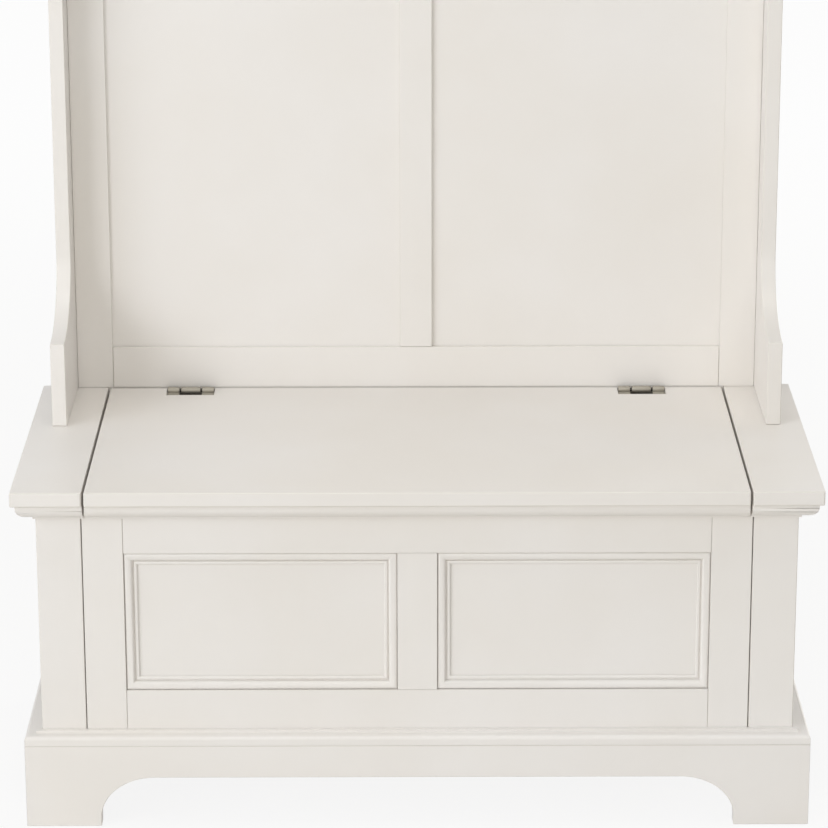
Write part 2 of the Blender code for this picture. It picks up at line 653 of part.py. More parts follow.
def build_top_shelf():
    reach = CORNICE_PROJECTION + SHELF_LIP
    half = BODY_HALF + reach
    shelf = box((-half, half), (UPPER_FRONT - reach, BACK_Y), (SHELF_UNDER, OVERALL_HEIGHT))
    top = block("top_shelf", PAINT, [shelf])
    combine(top, "DIFFERENCE", dowels(-1, SHELF_UNDER, FIT) + dowels(1, SHELF_UNDER, FIT))
    half = UPPER_INNER - FIT
    fascia_y = (UPPER_FRONT, UPPER_FRONT + FASCIA_THICK)
    block("top_fascia", PAINT, [box((-half, half), fascia_y, (UPPER_TOP - FASCIA_HEIGHT, UPPER_TOP))])
    under = UPPER_TOP - CORNICE_HEIGHT
    inner = FIT + CORNICE_FILLET
    radii = (CORNICE_PROJECTION - inner, CORNICE_HEIGHT - 2 * CORNICE_FILLET)
    profile = [(FIT, under), (FIT, UPPER_TOP), (CORNICE_PROJECTION, UPPER_TOP)]
    profile += arc((CORNICE_PROJECTION, under + CORNICE_FILLET), radii, 90, 180)
    profile.append((inner, under))
    mitred_front("cornice_front", profile, BODY_HALF, UPPER_FRONT)
    mitred_sides("cornice", profile, BODY_HALF, UPPER_FRONT)


def leaf_screws(side, y, z, direction, clearance=0.0):
    """The three screws of a hinge leaf whose middle is at y and z, or their pilot holes."""
    places = [(side * HINGE_OFFSET + step * LEAF_SCREW_SPACING, y, z) for step in (-1, 0, 1)]
    return [screw(place, direction, LEAF_THICK, clearance) for place in places]


def hinge_leaf(name, side, plate, tail, knuckles, screws):
    """A hinge leaf with its screws: a plate, and a tail from it to each knuckle round the pin.

    The plate and the tails are given as their limits in y and in z.
    """
    middle = side * HINGE_OFFSET
    half = HINGE_WIDTH / 2
    solids = [box((middle - half, middle + half), *plate)]
    barrels = []
    for start, end in knuckles:
        solids.append(box((middle + start, middle + end), *tail))
        profile = [(0.0, BARREL_RADIUS), (end - start, BARREL_RADIUS)]
        barrels.append(turned((middle + start, HINGE_Y, HINGE_Z), (1, 0, 0), profile, BARREL_SIDES))
    leaf = block(name, NICKEL, solids)
    combine(leaf, "UNION", barrels + screws)
    bore = [(-FIT, PIN_RADIUS + FIT), (HINGE_WIDTH + FIT, PIN_RADIUS + FIT)]
    combine(leaf, "DIFFERENCE", [turned((middle - half, HINGE_Y, HINGE_Z), (1, 0, 0), bore)])
    return leaf


def build_hinges():
    """Frame leaves, lid leaves and pins. Returns the leaves that turn with the lid."""
    half = HINGE_WIDTH / 2
    inner = CENTRE_KNUCKLE / 2
    outer_start = inner + KNUCKLE_GAP
    tail_z = (TAIL_UNDER, TAIL_TOP)
    frame_plate = ((FRAME_LEAF_BACK - LEAF_THICK, FRAME_LEAF_BACK), (FRAME_LEAF_UNDER, TAIL_TOP))
    frame_tail = ((HINGE_Y, FRAME_LEAF_BACK), tail_z)
    frame_middle = [sum(limits) / 2 for limits in frame_plate]
    lid_plate = ((LID_LEAF_FRONT, NOTCH_FRONT), tail_z)
    lid_tail = ((LID_LEAF_FRONT, HINGE_Y), tail_z)
    lid_middle = [sum(limits) / 2 for limits in lid_plate]
    into_rail = (0, 1, 0)
    into_lid = (0, 0, -1)
    rail = bpy.data.objects["hinge_rail"]
    lid = bpy.data.objects["lid_board"]
    turning = []
    for side_name, side in SIDES.items():
        combine(rail, "DIFFERENCE", leaf_screws(side, *frame_middle, into_rail, FIT))
        combine(lid, "DIFFERENCE", leaf_screws(side, *lid_middle, into_lid, FIT))
        screws = leaf_screws(side, *frame_middle, into_rail)
        name = both("hinge_frame_leaf", side_name)
        hinge_leaf(name, side, frame_plate, frame_tail, [(-inner, inner)], screws)
        screws = leaf_screws(side, *lid_middle, into_lid)
        name = both("hinge_lid_leaf", side_name)
        knuckles = [(-half, -outer_start), (outer_start, half)]
        turning.append(hinge_leaf(name, side, lid_plate, lid_tail, knuckles, screws))
        start = (side * HINGE_OFFSET - half, HINGE_Y, HINGE_Z)
        pin = turned(start, (1, 0, 0), [(0.0, PIN_RADIUS), (HINGE_WIDTH, PIN_RADIUS)])
        loft(both("hinge_pin", side_name), NICKEL, pin)
    return turning


def build_lid():
    """The lid board, its moulding and its bumpers.

    A notch goes through the board round each hinge barrel, with a recess in front for the leaf.
    """
    board = box((-LID_HALF, LID_HALF), (FRONT_Y, LID_BACK), (BOARD_UNDER, SEAT_HEIGHT))
    notches = []
    reach = HINGE_WIDTH / 2 + NOTCH_CLEARANCE
    above = SEAT_HEIGHT + FIT
    behind = LID_BACK + FIT
    for side in (-1, 1):
        notch_x = (side * HINGE_OFFSET - reach, side * HINGE_OFFSET + reach)
        notches.append(box(notch_x, (NOTCH_FRONT, behind), (BOARD_UNDER - FIT, above)))
        notches.append(box(notch_x, (LID_LEAF_FRONT - FIT, behind), (TAIL_UNDER - FIT, above)))
    pieces = [block("lid_board", PAINT, [board], notches)]
    profile = top_profile(LID_MOULDING_CLEARANCE)
    sections = [[(x, BODY_FRONT - out, z) for out, z in profile] for x in (-LID_HALF, LID_HALF)]
    pieces.append(loft("lid_moulding", PAINT, sections))
    middle_y = BODY_FRONT + FRONT_THICK / 2
    bumper_y = (middle_y - BUMPER_WIDTH / 2, middle_y + BUMPER_WIDTH / 2)
    for side_name, side in SIDES.items():
        middle = side * BUMPER_OFFSET
        bumper_x = (middle - BUMPER_LENGTH / 2, middle + BUMPER_LENGTH / 2)
        bumper = box(bumper_x, bumper_y, (FRAME_TOP + FIT, BOARD_UNDER - FIT))
        pieces.append(block(both("lid_bumper", side_name), RUBBER, [bumper]))
    return pieces


def curve_point(points, t):
    """A point and its direction on a cubic curve."""
    p0, p1, p2, p3 = [Vector(point) for point in points]
    s = 1 - t
    place = p0 * s**3 + p1 * (3 * s * s * t) + p2 * (3 * s * t * t) + p3 * t**3
    heading = (p1 - p0) * (s * s) + (p2 - p1) * (2 * s * t) + (p3 - p2) * (t * t)
    return place, heading.normalized()


def prong(root, reach, rise, sag, knob):
    """Sections of a hook's prong: a bar that dips, then swings out and up to a round knob."""
    path = [
        root,
        root + Vector((0, -reach / 2, -sag)),
        root + Vector((0, -reach, -sag)),
        root + Vector((0, -reach, rise)),
    ]
    stations = []
    for i in range(PRONG_STEPS):
        t = i / PRONG_STEPS
        place, heading = curve_point(path, t)
        stations.append((place, heading, PRONG_RADIUS + (PRONG_TIP_RADIUS - PRONG_RADIUS) * t))
    end, heading = curve_point(path, 1.0)
    first = -math.acos(PRONG_TIP_RADIUS / knob)
    last = math.radians(KNOB_CLOSE)
    for i in range(KNOB_STEPS + 1):
        angle = first + (last - first) * i / KNOB_STEPS
        stations.append((end + heading * (knob * math.sin(angle)), heading, knob * math.cos(angle)))
    sections = []
    for place, heading, radius in stations:
        sections.append(turned(place, heading, [(0.0, radius)])[0])
    return sections


def build_hooks():
    """The hook rail, its double coat hooks and their screws."""
    rail_half = UPPER_STILE_INNER - FIT
    rail_y = (HOOK_RAIL_FACE, UPPER_FRAME_BACK)
    rail = block("hook_rail", PAINT, [box((-rail_half, rail_half), rail_y, (HOOK_RAIL_UNDER, UPPER_TOP))])
    back = HOOK_RAIL_FACE - FIT
    face = back - HOOK_PLATE_THICK
    middle_z = HOOK_RAIL_UNDER + HOOK_DROP
    radius = HOOK_PLATE_WIDTH / 2
    straight = HOOK_PLATE_HEIGHT / 2 - radius
    plate_middle = back - HOOK_PLATE_THICK / 2
    first_x = HOOK_END - rail_half
    spacing = -2 * first_x / (HOOK_COUNT - 1)
    for i in range(HOOK_COUNT):
        x = first_x + i * spacing
        outline = arc((x, middle_z + straight), (radius, radius), 0, 180, PRONG_STEPS)
        outline += arc((x, middle_z - straight), (radius, radius), 180, 360, PRONG_STEPS)
        hook = loft(f"coat_hook_{i + 1}", NICKEL, [[(u, y, v) for u, v in outline] for y in (back, face)])
        upper_root = Vector((x, plate_middle, middle_z + PRONG_SPACING / 2))
        lower_root = Vector((x, plate_middle, middle_z - PRONG_SPACING / 2))
        upper_sizes = (UPPER_PRONG_REACH, UPPER_PRONG_RISE, UPPER_PRONG_SAG, UPPER_KNOB_RADIUS)
        lower_sizes = (LOWER_PRONG_REACH, LOWER_PRONG_RISE, LOWER_PRONG_SAG, LOWER_KNOB_RADIUS)
        prongs = [prong(upper_root, *upper_sizes), prong(lower_root, *lower_sizes)]
        screws = []
        holes = []
        for end in (-1, 1):
            start = (x, plate_middle, middle_z + end * HOOK_SCREW_SPACING / 2)
            screws.append(screw(start, (0, 1, 0), HOOK_PLATE_THICK))
            holes.append(screw(start, (0, 1, 0), HOOK_PLATE_THICK, FIT))
        combine(hook, "UNION", prongs + screws)
        combine(rail, "DIFFERENCE", holes)


def hang_lid(pieces):
    """Carry the lid's pieces on an empty that lies on the hinge axis."""
    pivot = bpy.data.objects.new("lid_pivot", None)
    pivot.location = (0.0, HINGE_Y, HINGE_Z)
    bpy.context.collection.objects.link(pivot)
    bpy.context.view_layer.update()
    for piece in pieces:
        piece.parent = pivot
        piece.matrix_parent_inverse = pivot.matrix_world.inverted()


def shade_round_faces():
    for obj in bpy.data.objects:
        if obj.type == "MESH":
            obj.data.shade_smooth()
            obj.data.set_sharp_from_angle(angle=math.radians(SMOOTH_ANGLE))


def main():
    clear_scene()
    build_plinth()
    build_base_moulding()
    build_posts()
    build_side_frames()
    build_front_frame()
    build_panel_mouldings()
    build_back_and_floor()
    build_top()
    build_upper()
    build_top_shelf()
    build_hooks()
    lid_pieces = build_lid()
    lid_pieces += build_hinges()
    hang_lid(lid_pieces)
    shade_round_faces()


main()
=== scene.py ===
import json
import math

import bmesh
import bpy
from mathutils import Matrix, Vector


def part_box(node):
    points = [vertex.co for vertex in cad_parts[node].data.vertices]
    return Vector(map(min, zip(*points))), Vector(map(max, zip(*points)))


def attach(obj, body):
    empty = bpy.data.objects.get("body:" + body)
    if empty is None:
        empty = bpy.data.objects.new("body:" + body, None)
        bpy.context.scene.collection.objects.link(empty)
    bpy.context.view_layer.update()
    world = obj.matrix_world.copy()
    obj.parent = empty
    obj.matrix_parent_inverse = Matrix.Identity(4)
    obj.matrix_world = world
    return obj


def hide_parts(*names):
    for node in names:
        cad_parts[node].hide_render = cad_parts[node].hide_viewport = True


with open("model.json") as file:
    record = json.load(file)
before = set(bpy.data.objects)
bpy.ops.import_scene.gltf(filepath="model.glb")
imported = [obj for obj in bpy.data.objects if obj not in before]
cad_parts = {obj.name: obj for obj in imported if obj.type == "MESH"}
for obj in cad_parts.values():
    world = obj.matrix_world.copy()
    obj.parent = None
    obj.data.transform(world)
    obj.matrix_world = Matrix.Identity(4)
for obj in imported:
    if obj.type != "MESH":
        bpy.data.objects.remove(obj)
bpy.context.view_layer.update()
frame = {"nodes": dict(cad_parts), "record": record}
nodes = frame["nodes"]
bodyOf = {node: body for body, names in frame["record"]["behaviour"]["bodies"].items() for node in names}
print("frame loaded:", len(nodes), "nodes")


def hexColour(text):
    channels = [int(text[i:i + 2], 16) / 255 for i in (1, 3, 5)]
    linear = [c / 12.92 if c <= 0.04045 else ((c + 0.055) / 1.055) ** 2.4 for c in channels]
    return (*linear, 1.0)


def addNode(tree, kind, inputs=None, **settings):
    node = tree.nodes.new(kind)
    for key, value in settings.items():
        setattr(node, key, value)
    for key, value in (inputs or {}).items():
        if isinstance(value, bpy.types.NodeSocket):
            tree.links.new(value, node.inputs[key])
        else:
            node.inputs[key].default_value = value
    return node


def emptyMaterial(name, settings):
    material = bpy.data.materials.new(name)
    material.use_nodes = True
    shader = material.node_tree.nodes["Principled BSDF"]
    for key, value in settings.items():
        shader.inputs[key].default_value = value
    return material, material.node_tree, shader


# Satin lacquer, sprayed on primed wood and rubbed down: an even warm white with a soft sheen.
# The coat lies in faint clouds and shows a little orange peel; eased edges are tinted a shade darker, as
# painted shade that dims their highlight.
lacquer = {
    "tone": "#e9e6e3",
    "cloudTone": "#e6e2dd",
    # painted shade: the darker tone of eased edges, which dims the highlight they catch
    "edgeShadeTone": "#e2ded8",
    "cloudSize": 0.320,         # m across one cloud
    "cloudDetail": 3.0,
    "cloudRoughness": 0.55,
    "cloudSpan": (0.35, 0.65),  # of the noise, from cloudTone to tone
    "peelSize": 0.006,          # real peel is about 1 mm, drawn coarser so that it shows
    "peelDetail": 2.0,
    "peelHeight": 0.000035,
    "grainWidth": 0.005,        # wood grain under the coat, drawn coarser so that it shows
    "grainLength": 0.220,
    "grainDetail": 4.0,
    "grainBend": 0.4,
    "grainHeight": 0.000020,
    "roughness": (0.38, 0.46),
    "ior": 1.49,
}


def lacquerMaterial(name, grainAxis):
    material, tree, shader = emptyMaterial(name, {"IOR": lacquer["ior"]})
    place = addNode(tree, "ShaderNodeTexCoord").outputs["Object"]
    clouds = {
        "Vector": place,
        "Scale": 1 / lacquer["cloudSize"],
        "Detail": lacquer["cloudDetail"],
        "Roughness": lacquer["cloudRoughness"],
    }
    cloud = addNode(tree, "ShaderNodeTexNoise", clouds).outputs["Fac"]
    ramp = addNode(tree, "ShaderNodeValToRGB", {"Fac": cloud})
    tones = (lacquer["cloudTone"], lacquer["tone"])
    for stop, position, tone in zip(ramp.color_ramp.elements, lacquer["cloudSpan"], tones):
        stop.position = position
        stop.color = hexColour(tone)
    # painted shade: faces marked as eased take the darker edge tone, dimming the highlight on rounded
    # edges
    edge = addNode(tree, "ShaderNodeAttribute", attribute_name="easedEdge").outputs["Fac"]
    colours = {0: edge, 6: ramp.outputs["Color"], 7: hexColour(lacquer["edgeShadeTone"])}
    mixed = addNode(tree, "ShaderNodeMix", colours, data_type="RGBA")
    tree.links.new(mixed.outputs[2], shader.inputs["Base Color"])   # the mix of the colours 6 and 7
    low, high = lacquer["roughness"]
    sheen = addNode(tree, "ShaderNodeMapRange", {"Value": cloud, "To Min": low, "To Max": high})
    tree.links.new(sheen.outputs["Result"], shader.inputs["Roughness"])
    peels = {"Vector": place, "Scale": 1 / lacquer["peelSize"], "Detail": lacquer["peelDetail"]}
    peel = addNode(tree, "ShaderNodeTexNoise", peels).outputs["Fac"]
    scale = [1 / lacquer["grainWidth"]] * 3
    scale[grainAxis] = 1 / lacquer["grainLength"]
    along = addNode(tree, "ShaderNodeMapping", {"Vector": place, "Scale": scale}).outputs["Vector"]
    grains = {
        "Vector": along,
        "Scale": 1.0,
        "Detail": lacquer["grainDetail"],
        "Distortion": lacquer["grainBend"],
    }
    grain = addNode(tree, "ShaderNodeTexNoise", grains).outputs["Fac"]
    rough = addNode(tree, "ShaderNodeBump", {"Height": peel, "Distance": lacquer["peelHeight"]})
    bumps = {"Height": grain, "Distance": lacquer["grainHeight"], "Normal": rough.outputs["Normal"]}
    bump = addNode(tree, "ShaderNodeBump", bumps)
    tree.links.new(bump.outputs["Normal"], shader.inputs["Normal"])
    return material


# Satin nickel plate on steel: matt mid-grey metal, brushed sideways, so lights blur to a soft sheen.
# The pins are steel painted near black as painted shade, so that the gaps between the knuckles look
# black.
brushing = {
    "width": 0.0006,            # drawn coarser than real brushing so that it shows
    "length": 0.030,
    "height": 0.000010,
    "detail": 3.0,
    "span": (0.3, 0.7),         # of the noise, from the scratches to the plain metal
    "satinNickel": ("#b5b0a5", "#a5a095", 0.66, 0.78),      # tone, scratch tone, roughness from and to
    # painted shade: the pin's near-black colour stands in for the shade in the knuckle gaps
    "oiledSteel": ("#46433f", "#393633", 0.38, 0.52),
}


def metalMaterial(name):
    tone, scratchTone, low, high = brushing[name]
    material, tree, shader = emptyMaterial(name, {"Metallic": 1.0})
    place = addNode(tree, "ShaderNodeTexCoord").outputs["Object"]
    scale = (1 / brushing["length"], 1 / brushing["width"], 1 / brushing["width"])
    along = addNode(tree, "ShaderNodeMapping", {"Vector": place, "Scale": scale}).outputs["Vector"]
    scratches = {"Vector": along, "Scale": 1.0, "Detail": brushing["detail"]}
    brush = addNode(tree, "ShaderNodeTexNoise", scratches).outputs["Fac"]
    ramp = addNode(tree, "ShaderNodeValToRGB", {"Fac": brush})
    for stop, position, shade in zip(ramp.color_ramp.elements, brushing["span"], (scratchTone, tone)):
        stop.position = position
        stop.color = hexColour(shade)
    tree.links.new(ramp.outputs["Color"], shader.inputs["Base Color"])
    sheen = addNode(tree, "ShaderNodeMapRange", {"Value": brush, "To Min": low, "To Max": high})
    tree.links.new(sheen.outputs["Result"], shader.inputs["Roughness"])
    bump = addNode(tree, "ShaderNodeBump", {"Height": brush, "Distance": brushing["height"]})
    tree.links.new(bump.outputs["Normal"], shader.inputs["Normal"])
    return material


# Moulded bumper rubber: matt, off-white, with a fine pebbled skin.
rubber = {
    "tone": "#cfcbc1",
    "dipTone": "#c6c2b8",
    "pebbleSize": 0.0012,
    "pebbleDetail": 1.0,
    "pebbleHeight": 0.00005,
    "roughness": 0.65,
    "ior": 1.52,
}


def rubberMaterial(name):
    settings = {"Roughness": rubber["roughness"], "IOR": rubber["ior"]}
    material, tree, shader = emptyMaterial(name, settings)
    place = addNode(tree, "ShaderNodeTexCoord").outputs["Object"]
    pebbles = {"Vector": place, "Scale": 1 / rubber["pebbleSize"], "Detail": rubber["pebbleDetail"]}
    pebble = addNode(tree, "ShaderNodeTexNoise", pebbles).outputs["Fac"]
    ramp = addNode(tree, "ShaderNodeValToRGB", {"Fac": pebble})
    for stop, tone in zip(ramp.color_ramp.elements, (rubber["dipTone"], rubber["tone"])):
        stop.color = hexColour(tone)
    tree.links.new(ramp.outputs["Color"], shader.inputs["Base Color"])
    bump = addNode(tree, "ShaderNodeBump", {"Height": pebble, "Distance": rubber["pebbleHeight"]})
    tree.links.new(bump.outputs["Normal"], shader.inputs["Normal"])
    return material


paint = {axis: lacquerMaterial("satinLacquer" + axis, i) for i, axis in enumerate("XYZ")}
satinNickel = metalMaterial("satinNickel")
oiledSteel = metalMaterial("oiledSteel")
bumperRubber = rubberMaterial("bumperRubber")
print("materials made")

smoothAngle = 35                # degrees between faces that are shaded as one round face
weldDistance = 0.00001          # points nearer than this become one


def finishMesh(name, builder, material):
    mesh = bpy.data.meshes.new(name)
    builder.to_mesh(mesh)
    builder.free()
    mesh.materials.append(material)
    mesh.shade_smooth()
    mesh.set_sharp_from_angle(angle=math.radians(smoothAngle))
    piece = bpy.data.objects.new(name, mesh)
    bpy.context.collection.objects.link(piece)
    return piece


def applyModifiers(piece):
    graph = bpy.context.evaluated_depsgraph_get()
    mesh = bpy.data.meshes.new_from_object(piece.evaluated_get(graph))
    piece.modifiers.clear()
    piece.data = mesh
    mesh.name = piece.name


# Boards: edge radius outside, radius of rebates and joints, axis of the grain
boards = {
    "plinth_front": (0.0010, 0.0010, "X"),
    "plinth": (0.0010, 0.0010, "Y"),
    "base_moulding_front": (0.0005, 0.0005, "X"),
    "base_moulding": (0.0005, 0.0005, "Y"),
    "front_post": (0.0012, 0.0006, "Z"),
    "rear_post": (0.0012, 0.0006, "Z"),
    "side_top_rail": (0.0009, 0.0009, "Y"),
    "side_bottom_rail": (0.0009, 0.0009, "Y"),
    "side_panel": (0.0004, 0.0004, "Z"),
    "front_stile": (0.0009, 0.0009, "Z"),
    "front_top_rail": (0.0009, 0.0009, "X"),
    "front_bottom_rail": (0.0009, 0.0009, "X"),
    "front_muntin": (0.0009, 0.0009, "Z"),
    "front_panel": (0.0004, 0.0004, "X"),
    "panel_moulding": (0.0003, 0.0003, "X"),
    "hinge_rail": (0.0008, 0.0006, "X"),
    "back_bottom_rail": (0.0008, 0.0006, "X"),
    "bench_back_panel": (0.0004, 0.0004, "X"),
    "floor_panel": (0.0006, 0.0006, "X"),
    "top_board": (0.0020, 0.0006, "Y"),
    "top_moulding": (0.0005, 0.0005, "Y"),
    "upper_side": (0.0025, 0.0025, "Z"),
    "upper_stile": (0.0005, 0.0005, "Z"),
    "upper_centre_stile": (0.0009, 0.0009, "Z"),
    "upper_bottom_rail": (0.0009, 0.0009, "X"),
    "hook_rail": (0.0020, 0.0006, "X"),
    "upper_back_panel": (0.0004, 0.0004, "Z"),
    "top_fascia": (0.0010, 0.0010, "X"),
    "top_shelf": (0.0020, 0.0006, "X"),
    "cornice_front": (0.0005, 0.0005, "X"),
    "cornice": (0.0005, 0.0005, "Y"),
    "lid_board": (0.0020, 0.0008, "X"),
    "lid_moulding": (0.0005, 0.0005, "X"),
}
boardEdges = {
    "steps": 4,
    "sharp": 30,                # degrees between faces from which an edge is eased
    "mitre": 100,               # a mitre's acute edge stays crisp
    "shortest": 0.003,          # shorter edges belong to screw and dowel holes
    "nose": 0.0018,             # upper front edge of the bench top, the lid and the shelf
    "nosed": ("top_board", "lid_board", "top_shelf"),
    "lidCorner": 0.0045,        # upright edges at the lid's back corners
    "doubles": 0.00002,         # points of a CAD mesh nearer than this are one point
    "flat": 0.3,                # degrees up to which neighbouring faces are one plane
    "square": 0.999,            # least share of a face's normal along an axis
    "onBox": 0.0001,            # greatest distance of a face from the side of the box that it lies on
}


def boxSide(face, low, high):
    # which side of the node's box a face lies on, such as "-y", or nothing
    middle = face.calc_center_median()
    for axis in range(3):
        if abs(face.normal[axis]) > boardEdges["square"]:
            end = high[axis] if face.normal[axis] > 0 else low[axis]
            if abs(middle[axis] - end) < boardEdges["onBox"]:
                return ("+" if face.normal[axis] > 0 else "-") + "xyz"[axis]
    return ""


def edgeRadius(edge, kind, low, high):
    if len(edge.link_faces) != 2 or not edge.is_convex or edge.calc_length() < boardEdges["shortest"]:
        return 0.0
    if not boardEdges["sharp"] < math.degrees(edge.calc_face_angle()) < boardEdges["mitre"]:
        return 0.0
    outer, inner = boards[kind][:2]
    touched = {boxSide(face, low, high) for face in edge.link_faces}
    if "" in touched:
        return inner
    if kind in boardEdges["nosed"] and touched == {"-y", "+z"}:
        return boardEdges["nose"]
    if kind == "lid_board" and "+y" in touched and touched & {"-x", "+x"}:
        return boardEdges["lidCorner"]
    return outer


def easedBoard(node, kind):
    builder = bmesh.new()
    builder.from_mesh(nodes[node].data)
    bmesh.ops.remove_doubles(builder, verts=builder.verts, dist=boardEdges["doubles"])
    flat = math.radians(boardEdges["flat"])
    bmesh.ops.dissolve_limit(builder, angle_limit=flat, verts=builder.verts, edges=builder.edges)
    low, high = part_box(node)
    weight = builder.edges.layers.float.new("bevel_weight_edge")
    radii = {edge: edgeRadius(edge, kind, low, high) for edge in builder.edges}
    widest = max(radii.values())
    for edge, radius in radii.items():
        edge[weight] = radius / widest
        sharp = len(edge.link_faces) == 2 and math.degrees(edge.calc_face_angle()) > boardEdges["sharp"]
        edge.smooth = radius > 0 or not sharp
    for face in builder.faces:
        face.smooth = True
    mesh = bpy.data.meshes.new("finished_" + node)
    builder.to_mesh(mesh)
    builder.free()
    finish = paint[boards[kind][2]]
    mesh.materials.clear()
    mesh.materials.append(finish)
    mesh.materials.append(finish)   # eased faces keep the second slot until they are marked
    piece = bpy.data.objects.new(mesh.name, mesh)
    bpy.context.collection.objects.link(piece)
    ease = piece.modifiers.new("ease", "BEVEL")
    ease.limit_method = "WEIGHT"
    ease.width = widest
    ease.segments = boardEdges["steps"]
    ease.material = 1
    piece.modifiers.new("weld", "WELD").merge_threshold = weldDistance
    piece.modifiers.new("flatFaces", "WEIGHTED_NORMAL").keep_sharp = True
    applyModifiers(piece)
    mesh = piece.data
    # marks the eased faces, which the lacquer tints a shade darker as painted shade
    eased = mesh.attributes.new("easedEdge", "FLOAT", "FACE")
    for face in mesh.polygons:
        eased.data[face.index].value = face.material_index
        face.material_index = 0
    mesh.materials.pop()
    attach(piece, bodyOf[node])
    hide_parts(node)


def boardKind(node):
    for ending in ("_left", "_right"):
        if node.endswith(ending):
            node = node[:-len(ending)]
    return node


for node in nodes:
    if boardKind(node) in boards:
        easedBoard(node, boardKind(node))
print("boards eased and painted")


# Repeats a pattern along a line: hooks on their rail, hinges and bumpers at both ends of the lid
def repeatTree():
    tree = bpy.data.node_groups.new("repeatOnLine", "GeometryNodeTree")
    sockets = (("Pattern", "Object"), ("Count", "Int"), ("First", "Vector"), ("Step", "Vector"),
               ("Finish", "Material"))
    for name, kind in sockets:
        tree.interface.new_socket(name, in_out="INPUT", socket_type="NodeSocket" + kind)
    tree.interface.new_socket("Geometry", in_out="OUTPUT", socket_type="NodeSocketGeometry")
    given = addNode(tree, "NodeGroupInput").outputs
    line = {"Count": given["Count"], "Start Location": given["First"], "Offset": given["Step"]}
    places = addNode(tree, "GeometryNodeMeshLine", line, mode="OFFSET").outputs["Mesh"]
    pattern = addNode(tree, "GeometryNodeObjectInfo", {"Object": given["Pattern"]}).outputs["Geometry"]
    copies = addNode(tree, "GeometryNodeInstanceOnPoints", {"Points": places, "Instance": pattern})
    real = addNode(tree, "GeometryNodeRealizeInstances", {"Geometry": copies.outputs["Instances"]})
    done = {"Geometry": real.outputs["Geometry"], "Material": given["Finish"]}
    finish = addNode(tree, "GeometryNodeSetMaterial", done).outputs["Geometry"]
    addNode(tree, "NodeGroupOutput", {"Geometry": finish})
    return tree


def grownByNodes(name, tree, values, mesh, body):
    piece = bpy.data.objects.new(name, mesh)
    bpy.context.collection.objects.link(piece)
    grow = piece.modifiers.new("grow", "NODES")
    grow.node_group = tree
    for item in tree.interface.items_tree:
        if item.in_out == "INPUT" and item.name in values:
            grow[item.identifier] = values[item.name]
    applyModifiers(piece)
    piece.data.shade_smooth()
    piece.data.set_sharp_from_angle(angle=math.radians(smoothAngle))
    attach(piece, body)
    return piece


def repeated(name, pattern, first, step, count, finish, body):
    values = {"Pattern": pattern, "Count": count, "First": first, "Step": step, "Finish": finish}
    piece = grownByNodes(name, onLine, values, bpy.data.meshes.new(name), body)
    bpy.data.objects.remove(pattern)
    return piece


roundMiddle = 0.3               # inset of the middle of a rounded edge, as a share of its ease


def addLoft(builder, rings, closed=False):
    # skins rings of points into one closed body; closed joins the last ring to the first
    rows = [[builder.verts.new(point) for point in ring] for ring in rings]
    pairs = list(zip(rows, rows[1:] + rows[:1])) if closed else list(zip(rows, rows[1:]))
    for row, following in pairs:
        for i in range(len(row)):
            j = (i + 1) % len(row)
            builder.faces.new((row[i], row[j], following[j], following[i]))
    if not closed:
        builder.faces.new(rows[0][::-1])
        builder.faces.new(rows[-1])


def addTurned(builder, start, heading, profile, sides):
    # profile is (distance along, radius); each radius is above zero
    turn = Vector(heading).to_track_quat("Z", "Y")
    rings = []
    for along, radius in profile:
        ring = []
        for i in range(sides):
            angle = 2 * math.pi * i / sides
            offset = Vector((radius * math.cos(angle), radius * math.sin(angle), along))
            ring.append(Vector(start) + turn @ offset)
        rings.append(ring)
    addLoft(builder, rings)


def patternObject(name, builder):
    bmesh.ops.recalc_face_normals(builder, faces=builder.faces)
    return finishMesh(name, builder, satinNickel)


onLine = repeatTree()

# Butt hinges: a frame leaf on the hinge rail, a lid leaf let into the lid, and a pin
hinge = {
    "count": 2,
    "barrel": 0.0042,
    "barrelNotch": 0.0107,      # open space in front of a barrel
    "leafThick": 0.0016,
    "leafInset": 0.0002,        # of a leaf's under face from the barrel's lowest line
    "railFit": 0.0003,          # between a frame leaf and the hinge rail
    "centreKnuckle": 0.013,     # half of the frame leaf's knuckle
    "outerKnuckle": 0.0156,     # where the lid leaf's knuckles start
    "tailInset": 0.0004,        # from the end of a frame leaf's tail to the leaf's back
    "plateEase": 0.0003,
    "plateSteps": 2,
    "bore": 0.0028,
    "ease": 0.0005,             # edges of the knuckles
    "sides": 48,
    "pinSides": 24,
    "pinDome": 0.0007,
    "domeAngles": (0, 0.4, 0.8, 1.2, 1.5),      # radians, from the pin's side to its tip
    "screwStep": 0.024,
}


def placeHinges():
    # the frame gives the pin's axis, the outlines of the leaves and the rail behind them
    axisY, axisZ = frame["record"]["behaviour"]["joints"][0]["pos_m"][1:]
    lidLow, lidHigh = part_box("hinge_lid_leaf_right")
    pinLow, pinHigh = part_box("hinge_pin_right")
    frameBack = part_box("hinge_rail")[0].y - hinge["railFit"]
    leafUnder = axisZ - hinge["barrel"] + hinge["leafInset"]
    leafTop = leafUnder + hinge["leafThick"]
    hinge["middleX"] = (lidLow.x + lidHigh.x) / 2
    hinge["halfWidth"] = (lidHigh.x - lidLow.x) / 2
    hinge["pin"] = (pinHigh.y - pinLow.y) / 2
    hinge["axisY"] = axisY
    hinge["axisZ"] = axisZ
    hinge["frameY"] = (frameBack - hinge["leafThick"], frameBack)
    hinge["frameZ"] = (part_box("hinge_frame_leaf_right")[0].z, leafTop)
    hinge["lidY"] = (lidLow.y, axisY - hinge["barrel"] - hinge["barrelNotch"])
    hinge["leafZ"] = (leafUnder, leafTop)


